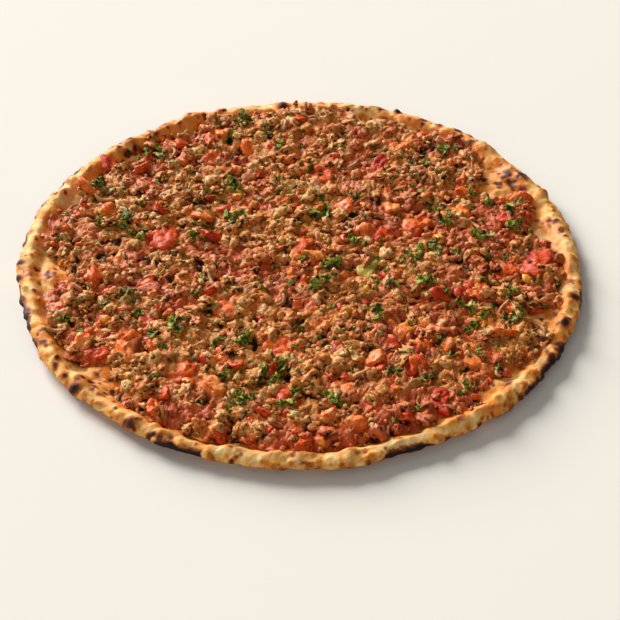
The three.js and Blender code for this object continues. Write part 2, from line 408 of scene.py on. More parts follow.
class Graph:
    """A material's nodes, ending in a Principled surface."""

    MIX = {"factor": 0, "low": 6, "high": 7, "result": 2}

    def __init__(self, name: str) -> None:
        """Makes an empty material of that name, with its surface and output."""
        self.material = bpy.data.materials.new(name)
        self.material.use_nodes = True
        self.tree = self.material.node_tree
        self.tree.nodes.clear()
        self.place = self.node("ShaderNodeTexCoord", output="Object")

    def node(self, kind: str, settings: dict | None = None, inputs: dict | None = None,
             output: int | str = 0) -> Wire:
        """Adds a node.

        Args:
            kind: The node's type.
            settings: Its own settings, and a ramp's stops as "stops".
            inputs: Values or wires for its sockets, by name or place.
            output: The socket that the result comes out of.

        Returns:
            The result.
        """
        made = self.tree.nodes.new(kind)
        for key, value in (settings or {}).items():
            if key == "stops":
                self._set_stops(made.color_ramp, value)
            else:
                setattr(made, key, value)
        for key, value in (inputs or {}).items():
            if isinstance(value, Wire):
                self.tree.links.new(value.socket, made.inputs[key])
            else:
                made.inputs[key].default_value = value
        return Wire(self, made.outputs[output])

    @staticmethod
    def _set_stops(ramp: bpy.types.ColorRamp, stops: Stops) -> None:
        """Sets a ramp's stops from places and colour codes."""
        while len(ramp.elements) < len(stops):
            ramp.elements.new(1.0)
        for element, (place, code) in zip(ramp.elements, stops):
            element.position = place
            element.color = colour(code)

    def noise(self, size: float, detail: float = 3.0, rough: float = 0.55, warp: float = 0.0) -> Wire:
        """Smooth noise from 0 to 1 with patches of that size in millimetres."""
        inputs = {"Vector": self.place, "Scale": 1 / (size * MM), "Detail": detail,
                  "Roughness": rough, "Distortion": warp}
        return self.node("ShaderNodeTexNoise", None, inputs, "Fac")

    def mark(self, name: str) -> Wire:
        """What the shape's mark of that name says at each point."""
        return self.node("ShaderNodeAttribute", {"attribute_name": name}, None, "Fac")

    def ramp(self, value: Wire, stops: Stops) -> Wire:
        """Colours from a value by stops."""
        return self.node("ShaderNodeValToRGB", {"stops": stops}, {0: value}, "Color")

    def mix(self, factor: Value, low: Wire | str, high: Wire | str) -> Wire:
        """Mixes two colours.

        Args:
            factor: 0 gives low and 1 gives high.
            low: A wire or a colour code.
            high: A wire or a colour code.

        Returns:
            The mixed colour.
        """
        low, high = (colour(c) if isinstance(c, str) else c for c in (low, high))
        settings = {"data_type": "RGBA", "blend_type": "MIX", "clamp_factor": True}
        inputs = {self.MIX["factor"]: factor, self.MIX["low"]: low, self.MIX["high"]: high}
        return self.node("ShaderNodeMix", settings, inputs, self.MIX["result"])

    def glazed(self, under: Wire, value: Wire, glaze: "Glaze") -> Wire:
        """Lays a glaze over a colour where a value is high."""
        return self.mix(value.eased(glaze.start, glaze.full) * glaze.strength, under, glaze.shade)

    def varied(self, start: Wire, *grains: tuple[Wire, float]) -> Wire:
        """Adds noises to a value, each as far as its weight says either way."""
        for grain, weight in grains:
            start = start + (grain - 0.5) * weight
        return start

    def finished(self, paint: Wire, roughness: Value, relief: Wire, depth: float,
                 coat: Value = 0.0, constants: dict | None = None) -> Material:
        """Ends the graph in a Principled surface.

        Args:
            paint: The base colour.
            roughness: The roughness.
            relief: The height of the fine bumps, from 0 to 1.
            depth: The fine bumps' depth in millimetres.
            coat: How wet the surface is.
            constants: Sockets that are the same all over.

        Returns:
            The material.
        """
        bump_inputs = {"Height": relief, "Distance": depth * MM, "Strength": 1.0}
        normal = self.node("ShaderNodeBump", None, bump_inputs, "Normal")
        inputs = {"Base Color": paint, "Roughness": roughness, "Normal": normal, "Coat Weight": coat}
        surface = self.node("ShaderNodeBsdfPrincipled", None, {**inputs, **(constants or {})}, "BSDF")
        self.node_output(surface)
        return self.material

    def node_output(self, surface: Wire) -> None:
        """Joins a surface to the material's output."""
        made = self.tree.nodes.new("ShaderNodeOutputMaterial")
        self.tree.links.new(surface.socket, made.inputs["Surface"])


@dataclass(frozen=True)
class Glaze:
    """A colour laid where a value is high: where it starts, where it's full, and how strong it is."""

    start: float
    full: float
    strength: float
    shade: str


@dataclass(frozen=True)
class DoughFinish:
    """Baked dough: cream, golden and orange, with brown blisters and black scorching.

    A noise is held as its patch size in millimetres, detail and roughness.
    """

    patches: Grain = (6.0, 5.0, 0.62)
    specks: Grain = (1.3, 4.0, 0.65)
    flour: Grain = (2.6, 2.0)
    broad: Grain = (17.0, 3.0)
    ashes: Grain = (0.9, 3.0)
    grit: Grain = (0.5, 2.0)
    weights: Grain = (1.0, 0.8, 0.6)
    baked_least: float = 0.11
    toasting: float = 0.9
    bread: Stops = (
        (0.0, "ffd994"), (0.26, "f8b85c"), (0.5, "e8922c"), (0.75, "b8621c"), (1.0, "8a4214"))
    oiled: Glaze = Glaze(0.12, 0.75, 0.88, "ec8412")
    floured: Glaze = Glaze(0.52, 0.7, 0.25, "fad9a4")
    halo: Glaze = Glaze(0.12, 0.42, 0.9, "c86414")
    crust: Glaze = Glaze(0.34, 0.66, 1.0, "642c0c")
    ash: Glaze = Glaze(0.5, 0.72, 0.5, "32190b")
    black: str = "180b05"
    burnt: Span = (0.6, 0.95)
    rough: float = 0.62
    depth: float = 0.55

    def material(self) -> Material:
        """Builds the material from the dough's toast, scorch and oil marks."""
        graph = Graph("baked_dough")
        toast, scorch, oil = (graph.mark(key) for key in ("toast", "scorch", "oil"))
        patches, specks, flour, broad = (
            graph.noise(*grain) for grain in (self.patches, self.specks, self.flour, self.broad))
        baked = graph.varied(toast * self.toasting, *zip((patches, broad, specks), self.weights))
        bread = graph.ramp(baked + self.baked_least, self.bread)
        bread = graph.glazed(bread, graph.varied(oil, (patches, 0.5)), self.oiled)
        bread = graph.glazed(bread, flour, self.floured)
        burn = graph.varied(scorch, (specks, 0.42), (flour, 0.2))
        bread = graph.glazed(bread, burn, self.halo)
        bread = graph.glazed(bread, burn, self.crust)
        ashes = graph.noise(*self.ashes).eased(self.ash.start, self.ash.full) * self.ash.strength
        bread = graph.mix(burn.eased(*self.burnt), bread, graph.mix(ashes, self.black, self.ash.shade))
        relief = specks * 0.6 + patches * 0.6 + graph.noise(*self.grit) * 0.2
        shine = oil.eased(0.3, 0.9) * 0.24
        roughness = graph.varied(self.rough - shine, (specks, 0.25)) + burn.eased(0.5, 0.9) * 0.15
        fixed = {"Subsurface Weight": 0.12, "Subsurface Radius": (1.0, 0.5, 0.25),
                 "Subsurface Scale": 0.0012, "Specular IOR Level": 0.28, "Coat Roughness": 0.28}
        return graph.finished(bread, roughness, relief, self.depth, burn.eased(0.6, 0.85) * 0.08, fixed)


@dataclass(frozen=True)
class MinceFinish:
    """Cooked mince: moist tan and red-brown crumbs, with shade painted dark into their creases and pits."""

    fine: Grain = (0.9, 4.0, 0.65)
    patch: Grain = (4.0, 3.0)
    grainy: Grain = (1.7, 3.0, 0.6)
    olives: Grain = (7.0, 2.0)
    oils: Grain = (4.6, 3.0, 0.6)
    meat: Stops = (
        (0.0, "9c420e"), (0.38, "ea7a22"), (0.8, "ffb650"), (1.0, "ffe2a2"))
    olive: Glaze = Glaze(0.49, 0.7, 0.55, "86742a")
    oil: Glaze = Glaze(0.54, 0.72, 0.6, "f07e12")
    stain: Glaze = Glaze(0.3, 0.95, 0.72, "e04c18")
    # The dark of the painted shade in the creases and pits.
    crease_shade_colour: str = "2a0d02"
    least: float = 0.17
    rough: float = 0.82
    depth: float = 1.1

    def material(self) -> Material:
        """Builds the material from the mince's tint and stain marks and its mark of painted shade in the
        creases.
        """
        graph = Graph("cooked_mince")
        tint, stain, crease = (graph.mark(key) for key in ("tint", "stain", "crease"))
        fine, patch, grainy = (graph.noise(*grain) for grain in (self.fine, self.patch, self.grainy))
        shade = graph.varied(tint * 0.5, (fine, 1.0), (grainy, 1.5)) + patch * 0.35 + self.least
        meat = graph.ramp(shade, self.meat)
        meat = graph.glazed(meat, graph.noise(*self.olives), self.olive)
        meat = graph.glazed(meat, graph.noise(*self.oils), self.oil)
        meat = graph.glazed(meat, graph.varied(stain, (patch, 0.8)), self.stain)
        # Painted shade: the colour darkens towards a dark brown in the creases and pits, where light falls
        # less.
        meat = graph.mix(crease.eased(0.0, 0.5), self.crease_shade_colour, meat)
        relief = fine * 0.7 + graph.noise(0.45, 2.0) * 0.3 + graph.noise(2.0, 2.0) * 0.6
        # Where the painted shade is light, the mince is a little glossier and wetter.
        seen = crease.eased(0.1, 0.6)
        roughness = graph.varied(self.rough - stain * 0.16, (fine, 0.3)) - seen * 0.34
        fixed = {"Subsurface Weight": 0.08, "Subsurface Radius": (1.0, 0.35, 0.2),
                 "Subsurface Scale": 0.001, "Specular IOR Level": 0.36, "Coat Roughness": 0.18}
        return graph.finished(meat, roughness, relief, self.depth, seen * 0.2, fixed)


@dataclass(frozen=True)
class SoftFinish:
    """Wet soft vegetable flesh, from a deep tint to a pale one, with shade painted darker in its hollows and
    on its underside.
    """

    name: str
    stops: Stops
    # The dark of the painted shade in the hollows and underneath.
    crease: str
    wet: float = 0.1
    clear: float = 0.06
    gloss: float = 0.24
    patch: Grain = (3.0, 4.0, 0.6, 0.6)
    fine: Grain = (0.8, 3.0, 0.6)
    streak: Grain = (2.0, 3.0, 0.65, 1.6)
    weights: Grain = (1.1, 1.3, 0.4)
    least: float = 0.12
    depth: float = 0.9

    def material(self) -> Material:
        """Builds the material from the piece's tint mark and its mark of painted shade."""
        graph = Graph(self.name)
        patch, fine, streak = (graph.noise(*grain) for grain in (self.patch, self.fine, self.streak))
        tint = graph.varied(graph.mark("tint") * 0.7, *zip((patch, streak, fine), self.weights))
        flesh = graph.ramp(tint + self.least, self.stops)
        # Painted shade: the flesh darkens in hollows and on the underside.
        flesh = graph.mix(graph.mark("crease").eased(0.0, 0.5), self.crease, flesh)
        relief = patch * 0.6 + fine * 0.35
        fixed = {"Subsurface Weight": self.clear, "Subsurface Radius": (1.0, 0.3, 0.15),
                 "Subsurface Scale": 0.0018, "Specular IOR Level": self.gloss, "Coat Roughness": 0.12}
        return graph.finished(flesh, 0.4 + (fine - 0.5) * 0.3, relief, self.depth, self.wet, fixed)


@dataclass(frozen=True)
class FloorFinish:
    """The plain pale surface under the bread."""

    shade: str = "f7f3ea"
    speck: str = "ece6da"
    rough: float = 0.9
    depth: float = 0.02

    def material(self) -> Material:
        """Builds a matte, very faintly uneven material."""
        graph = Graph("pale_floor")
        grain = graph.noise(30.0, 2.0)
        paint = graph.mix(grain * 0.04, self.shade, self.speck)
        return graph.finished(paint, self.rough, grain, self.depth, 0.0, {"Specular IOR Level": 0.1})


# ---- The bread


def packed_points(node: str) -> Array:
    """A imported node's points in millimetres."""
    return np.array([v.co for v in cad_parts[node].data.vertices]) / MM


class Plan:
    """Where the bread's outline and the mince's edge run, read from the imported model."""

    STEPS = 720
    MIDDLE_SHARE = 0.7
    RAGGED = Uneven(5, 9.0, 3, 1.9)

    def __init__(self) -> None:
        """Reads the centre, the outline and the mince's edge."""
        low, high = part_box("dough_base")
        self.centre = (np.array(low[:2]) + np.array(high[:2])) / 2 / MM
        self.bread_reach = self._reach("dough_base")
        self.mince_reach = self._reach("mince_layer")

    def _reach(self, node: str) -> Array:
        """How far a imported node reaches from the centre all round.

        Args:
            node: The node.

        Returns:
            The largest distance at each of the evenly spaced bearings.
        """
        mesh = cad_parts[node].data
        points = packed_points(node)[:, :2] - self.centre
        pairs = np.array([edge.vertices[:] for edge in mesh.edges])
        first, second = points[pairs[:, 0]], points[pairs[:, 1]]
        far = np.maximum(np.hypot(*first.T), np.hypot(*second.T))
        far = far > np.hypot(*points.T).max() * self.MIDDLE_SHARE
        first, second = first[far], second[far]
        reach = np.zeros(self.STEPS)
        for step in range(self.STEPS):
            ray = np.array([math.cos(TURN * step / self.STEPS), math.sin(TURN * step / self.STEPS)])
            side_a, side_b = (p @ np.array([-ray[1], ray[0]]) for p in (first, second))
            crossed = (side_a * side_b <= 0) & (side_a != side_b) & (first @ ray > 0)
            share = side_a[crossed] / (side_a[crossed] - side_b[crossed])
            along = blend(first[crossed], second[crossed], share[:, None]) @ ray
            reach[step] = along.max() if len(along) else 0
        return reach

    def _around(self, reach: Array, bearing: Array) -> Array:
        """A reach at any bearing, in straight lines between the read ones."""
        place = (bearing % TURN) / TURN * self.STEPS
        step = np.floor(place).astype(int)
        return blend(reach[step % self.STEPS], reach[(step + 1) % self.STEPS], place - step)

    def outline(self, bearing: Array) -> Array:
        """The bread's radius at a bearing."""
        return self._around(self.bread_reach, bearing)

    def mince_edge(self, bearing: Array) -> Array:
        """The mince's radius at a bearing, with a ragged edge."""
        plain = self._around(self.mince_reach, bearing)
        return plain + self.RAGGED.over(np.cos(bearing) * plain, np.sin(bearing) * plain)

    def away(self, x: Array, y: Array) -> TwoArrays:
        """The distance and bearing of points from the bread's centre."""
        dx, dy = x - self.centre[0], y - self.centre[1]
        return np.hypot(dx, dy), np.arctan2(dy, dx)

    def inset(self, x: Array, y: Array) -> Array:
        """How far in from the bread's outline points lie."""
        distance, bearing = self.away(x, y)
        return self.outline(bearing) - distance

    def outward(self, x: float, y: float) -> float:
        """The bearing of one point from the bread's centre."""
        return math.atan2(y - self.centre[1], x - self.centre[0])


@dataclass(frozen=True)
class Blister:
    """A bubble in the rim: its middle, half lengths round and across, height and browning."""

    x: float
    y: float
    along: float
    across: float
    height: float
    toast: float
    oil: float


@dataclass(frozen=True)
class Scorch:
    """A burnt spot on the dough: its middle, length, width, turn and heat to 1."""

    x: float
    y: float
    length: float
    width: float
    turn: float
    heat: float


@dataclass
class Baking:
    """What the oven did to the rim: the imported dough's blisters, smaller bubbles and burnt spots."""

    plan: Plan
    crown: Callable[[Array], Array]
    least_rise: float = 0.9
    reach: float = 13.0
    own_reach: float = 0.6
    spread: float = 2.4
    skin: Span = (2.0, 3.0)
    halves: Span = (3.5, 13.0)
    tall: float = 2.6
    bubbles: int = 150
    bubble_halves: Span = (1.5, 4.4)
    bubble_belt: Span = (1.5, 13.0)
    specks: int = 210
    speck_belt: Span = (0.5, 17.0)
    seed: int = 3

    def __post_init__(self) -> None:
        """Reads the blisters and draws the bubbles and the spots."""
        draw = np.random.default_rng(self.seed)
        self.packed = self._packed_blisters(draw)
        self.blisters = self.packed + self._small_bubbles(draw)
        self.scorches = self._burnt_blisters(draw) + self._burnt_specks(draw)

    def _packed_blisters(self, draw: Draw) -> list[Blister]:
        """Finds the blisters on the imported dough, as the tops of what stands above its plain rim.

        Args:
            draw: Gives each blister's browning.

        Returns:
            The blisters.
        """
        points = packed_points("dough_base")
        distance, bearing = self.plan.away(points[:, 0], points[:, 1])
        inset = self.plan.outline(bearing) - distance
        upper = (inset > self.skin[0]) & (points[:, 2] > self.skin[1])
        rise = np.where(upper, points[:, 2] - self.crown(inset), 0)
        found = []
        for k in np.lexsort((bearing, -np.round(rise, 2))):
            if rise[k] < self.least_rise:
                break
            near = np.hypot(*(points[:, :2] - points[k, :2]).T) < self.reach
            if any(math.dist(points[k, :2], (b.x, b.y)) < self.reach * self.own_reach for b in found):
                continue
            weight = np.where(near, np.maximum(rise, 0), 0)
            out = np.array([math.cos(bearing[k]), math.sin(bearing[k])])
            apart = points[:, :2] - points[k, :2]
            spread = [math.sqrt(self.spread * (weight * (apart @ axis) ** 2).sum() / weight.sum())
                      for axis in (np.array([-out[1], out[0]]), out)]
            half = np.clip(spread, *self.halves)
            found.append(Blister(points[k, 0], points[k, 1], half[0], half[1], rise[k],
                                 draw.uniform(0.05, 0.4), draw.uniform(0.3, 1.0)))
        return found

    def _small_bubbles(self, draw: Draw) -> list[Blister]:
        """Small bubbles scattered over the rim, most of them near its outer side."""
        made = []
        for half in draw.uniform(*self.bubble_halves, self.bubbles):
            bearing = draw.uniform(0, TURN)
            inset = self.bubble_belt[0] + self.bubble_belt[1] * draw.uniform() ** 1.3
            x, y = polar(self.plan.centre, self.plan.outline(np.array(bearing)) - inset, bearing)
            made.append(Blister(float(x), float(y), half, half * draw.uniform(0.7, 1.1),
                                half * draw.uniform(0.25, 0.55), draw.uniform(0, 0.9), draw.uniform(0, 0.5)))
        return made

    def _burnt_blisters(self, draw: Draw) -> list[Scorch]:
        """Burnt caps on the tall blisters, with pinholes round them, and brown tops on the others."""
        made = []
        for blister in self.packed:
            tall = blister.height > self.tall
            out = self.plan.outward(blister.x, blister.y)
            shift = blister.across * draw.uniform(0.15, 0.6)
            x, y = blister.x + shift * math.cos(out), blister.y + shift * math.sin(out)
            size = blister.along * draw.uniform(0.45, 0.95) if tall else draw.uniform(2.5, 5)
            heat = draw.uniform(0.7, 1.0) if tall else draw.uniform(0.45, 0.85)
            made.append(Scorch(x, y, size, size * draw.uniform(0.4, 0.8), out + math.pi / 2, heat))
            for _ in range(int(draw.integers(4, 9)) if tall else int(draw.integers(0, 3))):
                sx, sy = draw.normal(size=2) * blister.along * 0.45
                pin = draw.uniform(1.4, 3.4)
                made.append(Scorch(blister.x + sx, blister.y + sy, pin, pin * draw.uniform(0.6, 1),
                                   draw.uniform(0, TURN), draw.uniform(0.6, 0.95)))
        return made

    def _burnt_specks(self, draw: Draw) -> list[Scorch]:
        """Small burnt spots in loose groups over the rim."""
        made = []
        while len(made) < self.specks:
            bearing = draw.uniform(0, TURN)
            inset = 0.8 + 14 * draw.uniform() ** 1.9
            for _ in range(int(draw.integers(1, 5))):
                turn = bearing + draw.normal() * 0.035
                inward = np.clip(inset + draw.normal() * 2.5, *self.speck_belt)
                x, y = polar(self.plan.centre, self.plan.outline(np.array(turn)) - inward, turn)
                size = draw.uniform(0.8, 1.9) + 2.6 * draw.uniform() ** 5
                made.append(Scorch(float(x), float(y), size * draw.uniform(1, 1.7), size,
                                   turn + draw.normal() * 0.8, draw.uniform(0.4, 0.95)))
        return made


@dataclass
class Knobs:
    """Small hard bubbles on the rim's side and top: most are browned and a few are burnt caps."""

    small: int = 900
    caps: int = 20
    seed: int = 47
    cap_radius: Span = (2.0, 4.2)
    cap_heat: Span = (0.75, 1.15)
    radius: Span = (0.8, 2.4)
    heat: Span = (-1.6, 0.66)
    rise: Span = (0.12, 0.42)
    brown: Span = (-0.2, 0.85)

    def raised(self, points: Array, likely: Array) -> ThreeArrays:
        """Finds what the knobs do to the bread's skin.

        Args:
            points: The skin's points.
            likely: How likely each is to be a knob's middle.

        Returns:
            Added height, browning and scorching at each point.
        """
        draw = np.random.default_rng(self.seed)
        tree = KDTree(len(points))
        for index, point in enumerate(points):
            tree.insert(point, index)
        tree.balance()
        height, toast, scorch = (np.zeros(len(points)) for _ in range(3))
        chosen = draw.choice(len(points), self.small + self.caps, p=likely / likely.sum())
        for order, middle in enumerate(chosen):
            cap = order < self.caps
            radius = draw.uniform(*self.cap_radius) if cap else blend(*self.radius, draw.uniform() ** 2.4)
            heat = draw.uniform(*(self.cap_heat if cap else self.heat))
            rise, brown = radius * draw.uniform(*self.rise), draw.uniform(*self.brown)
            near = np.array([index for _, index, _ in tree.find_range(points[middle], 2.2 * radius)])
            away = np.linalg.norm(points[near] - points[middle], axis=1) / radius
            dome = np.exp(-1.1 * away ** 2.6)
            height[near] = np.maximum(height[near], rise * dome)
            toast[near] = np.maximum(toast[near], brown * dome)
            scorch[near] = np.maximum(scorch[near], heat * np.exp(-1.3 * away ** 2))
        return height, toast, scorch


@dataclass
class Flatbread:
    """The bread: a flat underside, a rounded uneven rim with blisters, and a level middle."""

    plan: Plan
    steps: int = 1060
    crest_inset: float = 5.5
    slope_inset: float = 12.5
    edge_lift: float = 2.6
    lip_height: float = 2.2
    rest_inset: float = 27.0
    drawn_in: float = 0.5
    scorch_climb: float = 3.4
    scorch_heat: float = 0.95
    middle_inset: float = 118.0
    under_rings: tuple[int, int] = (11, 15)
    curl_insets: Span = (25.0, 6.5)
    curl: float = 1.6
    lip_rings: int = 17
    lip_turn: Span = (-82.0, 90.0)
    lip_foot: float = 2.1
    over_rings: int = 46
    over_insets: Span = (6.1, 34.0)
    covered_insets: Span = (40.0, 120.0)
    edge_fade: float = 9.0
    knob_inset: float = 1.2
    knob_belt: float = 3.8
    knob_heights: Span = (1.6, 3.4)
    low_heights: Span = (2.8, 6.0)
    char_heights: Span = (2.4, 4.6)
    outer_distances: Span = (120.0, 134.0)
    side_insets: Span = (0.5, 5.0)
    side_brown: float = 0.46
    low_brown: float = 0.45
    oil_reach: float = 5.0
    oil_most: float = 0.95
    dome_warp: Uneven = Uneven(21, 5.0, 2, 0.25)
    wobble: Uneven = Uneven(31, 9.0, 3, 0.55)
    crest_wave: Uneven = Uneven(33, 16.0, 3)
    broad_skin: Uneven = Uneven(41, 9.0, 2, 0.85)
    fine_skin: Uneven = Uneven(43, 3.2, 2, 0.34)
    low_edge: Uneven = Uneven(55, 8.0, 2, 1.2)
    speckles: Uneven = Uneven(53, 3.2, 3)
    burn_warp: Uneven = Uneven(61, 3.0, 2, 0.35)
    climbing: Uneven = Uneven(57, 26.0, 2)
    char_edge: Uneven = Uneven(58, 3.5, 3, 0.9)
    under_spots: Uneven = Uneven(59, 20.0, 2)

    def __post_init__(self) -> None:
        """Reads the base's and the crest's heights, and bakes the rim."""
        points = packed_points("dough_base")
        distance = self.plan.away(points[:, 0], points[:, 1])[0]
        inset = self.plan.inset(points[:, 0], points[:, 1])
        crest = np.abs(inset - self.crest_inset) < 1.0
        self.base_height = float(points[distance < 1.0, 2].max())
        self.crest_height = float(np.percentile(points[crest & (points[:, 2] > self.base_height), 2], 15))
        self.baking = Baking(self.plan, self.crown)

    def crown(self, inset: Array) -> Array:
        """The rim's height at a distance in from the outline, without blisters."""
        share = np.clip((inset - self.crest_inset) / (self.slope_inset - self.crest_inset), 0, 1)
        return blend(self.base_height, self.crest_height, 0.5 + 0.5 * np.cos(math.pi * share))

    def domes(self, x: Array, y: Array) -> ThreeArrays:
        """What the blisters do.

        Args:
            x: Places across.
            y: Places away.

        Returns:
            Added height, browning and oil at each place.
        """
        flat = np.stack([x.ravel(), y.ravel()], -1)
        warp = 1 + self.dome_warp.at(flat)
        height, toast, oil = (np.zeros(len(flat)) for _ in range(3))
        for blister in self.baking.blisters:
            reach = 2.2 * max(blister.along, blister.across)
            near = np.nonzero((np.abs(flat - [blister.x, blister.y]) < reach).all(1))[0]
            turn = self.plan.outward(blister.x, blister.y) + math.pi / 2
            away = spot_distance(flat[near], blister.x, blister.y, turn, blister.along, blister.across)
            dome = np.exp(-1.2 * (away * warp[near]) ** 2.6)
            for kept, full in ((height, blister.height), (toast, blister.toast), (oil, blister.oil)):
                kept[near] = np.maximum(kept[near], full * dome)
        return height.reshape(x.shape), toast.reshape(x.shape), oil.reshape(x.shape)

    def _section(self) -> ThreeArrays:
        """The rings from the middle of the underside to the middle of the top.

        Returns:
            Each ring's inset from the outline, its height, and how much it is on the top.
        """
        under = np.concatenate([np.linspace(self.middle_inset, self.rest_inset, self.under_rings[0]),
                                np.linspace(*self.curl_insets, self.under_rings[1])])
        under_height = self.edge_lift * np.clip(1 - under / self.rest_inset, 0, 1) ** self.curl
        lip = np.radians(np.linspace(*self.lip_turn, self.lip_rings))
        lip_inset = self.crest_inset * (1 - np.cos(lip)) * np.where(lip < 0, 0.9, 1)
        widest = self.edge_lift + self.lip_height
        lip_rise = np.where(lip < 0, widest - self.lip_foot, self.crest_height - widest)
        lip_height = widest + np.sin(lip) * lip_rise
        over = np.concatenate([np.linspace(*self.over_insets, self.over_rings), self.covered_insets])
        insets = np.concatenate([under, lip_inset, over])
        heights = np.concatenate([under_height, lip_height, self.crown(over)])
        on_top = np.concatenate([np.zeros(len(under)), ease(lip, -0.3, 1.2), np.ones(len(over))])
        return insets, heights, on_top

    def shape(self) -> Shape:
        """Builds the bread with its marks."""
        insets, heights, on_top = self._section()
        bearing = np.linspace(0, TURN, self.steps, endpoint=False)
        outline = self.plan.outline(bearing)
        around = np.stack(polar(np.zeros(2), outline, bearing), -1)
        near_edge = np.exp(-insets / self.edge_fade)[:, None]
        radius = outline[None] - insets[:, None] + self.wobble.at(around)[None] * near_edge
        x, y = polar(self.plan.centre, radius, bearing[None])
        dome, toast, oil = self.domes(x, y)
        crest = self.crest_wave.at(around)[None] * near_edge
        z = heights[:, None] + (dome + crest) * on_top[:, None]
        points = np.stack([x, y, np.broadcast_to(z, x.shape)], -1).reshape(-1, 3)
        ends = np.array([[*self.plan.centre, 0.0], [*self.plan.centre, self.base_height]])
        count = len(points)
        faces = np.concatenate([ring_faces(len(insets), self.steps), fan_faces(count, 0, self.steps, True),
                                fan_faces(count + 1, count - self.steps, self.steps, False)])
        bread = Shape(np.concatenate([points, ends]), faces)
        rough = self.broad_skin.at(points) + self.fine_skin.at(points)
        share = np.repeat(np.maximum(on_top, np.exp(-insets / 7) * 0.8), self.steps)
        belt = np.exp(-((insets - self.knob_inset) / self.knob_belt) ** 2)
        likely = np.repeat(belt, self.steps) * ease(points[:, 2], *self.knob_heights)
        knobs, brown, burnt = Knobs().raised(points, likely)
        lift = rough * share + knobs - self.drawn_in * likely
        bread.points[:count] += bread.normals()[:count] * lift[:, None]
        bread.points[:, 2] = np.maximum(bread.points[:, 2], 0)
        self._mark(bread, np.maximum(toast.ravel(), brown), oil.ravel(), burnt)
        return bread

    def _mark(self, bread: Shape, toast: Array, oil: Array, burnt: Array) -> None:
        """Adds browning, oil and scorching to the bread.

        Args:
            bread: The bread.
            toast: The blisters' and knobs' browning.
            oil: The blisters' oil.
            burnt: The knobs' scorching.
        """
        points = bread.points[:len(toast)]
        x, y, z = points.T
        distance, bearing = self.plan.away(x, y)
        low = 1 - ease(z + self.low_edge.at(points), *self.low_heights)
        outer = ease(distance, *self.outer_distances)
        side = 1 - ease(self.plan.outline(bearing) - distance, *self.side_insets)
        speckle = ease(self.speckles.at(points), -0.3, 0.4)
        band = (self.side_brown * side + self.low_brown * low) * outer * (0.3 + 0.7 * speckle)
        beyond = distance - self.plan.mince_edge(bearing)
        oily = np.maximum(oil, self.oil_most * np.exp(-np.maximum(beyond, 0) / self.oil_reach))
        scorch = burnt.copy()
        flat = points[:, :2]
        warp = 1 + self.burn_warp.at(flat)
        for spot in self.baking.scorches:
            near = np.nonzero((np.abs(flat - [spot.x, spot.y]) < 1.6 * spot.length).all(1) & (z > 1.0))[0]
            away = spot_distance(flat[near], spot.x, spot.y, spot.turn, spot.length / 2, spot.width / 2)
            burn = spot.heat * np.exp(-0.75 * (away * warp[near]) ** 1.9)
            scorch[near] = np.maximum(scorch[near], burn)
        climb = self.scorch_climb * ease(self.climbing.at(points), -0.15, 0.4)
        charred = 1 - ease(z - climb + self.char_edge.at(points), *self.char_heights)
        band_burn = charred * outer * side * self.scorch_heat
        underneath = ease(3.0 - z, 0, 2) * (1 - outer)
        spots = ease(self.under_spots.at(points), 0.0, 0.8) * ease(distance, 20, 50)
        baked = underneath * (0.25 + 0.5 * spots)
        ends = [0.25, 0.3]
        bread.marks["toast"] = np.concatenate([np.clip(toast * 0.8 + band * 0.75 + baked, 0, 1), ends])
        bread.marks["oil"] = np.concatenate([oily * (1 - low), [0.0, 0.0]])
        bread.marks["scorch"] = np.concatenate([np.maximum(scorch, band_burn), [0.0, 0.0]])


# ---- The topping


@dataclass(frozen=True)
class Resting:
    """Where a packed soft piece lies: its middle, its axes, half lengths and the bend along it."""

    node: str
    middle: Array
    turn: float
    half: Array
    bend: float

    @staticmethod
    def of(node: str) -> "Resting":
        """Reads a piece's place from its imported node."""
        points = packed_points(node)
        low, high = points.min(0), points.max(0)
        flat = points[:, :2] - points[:, :2].mean(0)
        _, _, axes = np.linalg.svd(flat, full_matrices=False)
        turn = math.atan2(axes[0, 1], axes[0, 0])
        c, s = math.cos(turn), math.sin(turn)
        along, across = flat @ np.array([c, s]), flat @ np.array([-s, c])
        half = np.array([np.ptp(along) / 2, np.ptp(across) / 2, (high[2] - low[2]) / 2])
        bend = np.polyfit(along, across, 2)[0]
        middle = np.array([*points[:, :2].mean(0), (low[2] + high[2]) / 2])
        return Resting(node, middle, turn, half, bend)

    def covers(self, x: Array, y: Array, margin: float) -> Array:
        """Whether places lie on the piece or nearer to it than a margin."""
        along, across = along_axes(x - self.middle[0], y - self.middle[1], self.turn)
        along, across = along / (self.half[0] + margin), across / (self.half[1] + margin)
        return along ** 2 + across ** 2 < 1


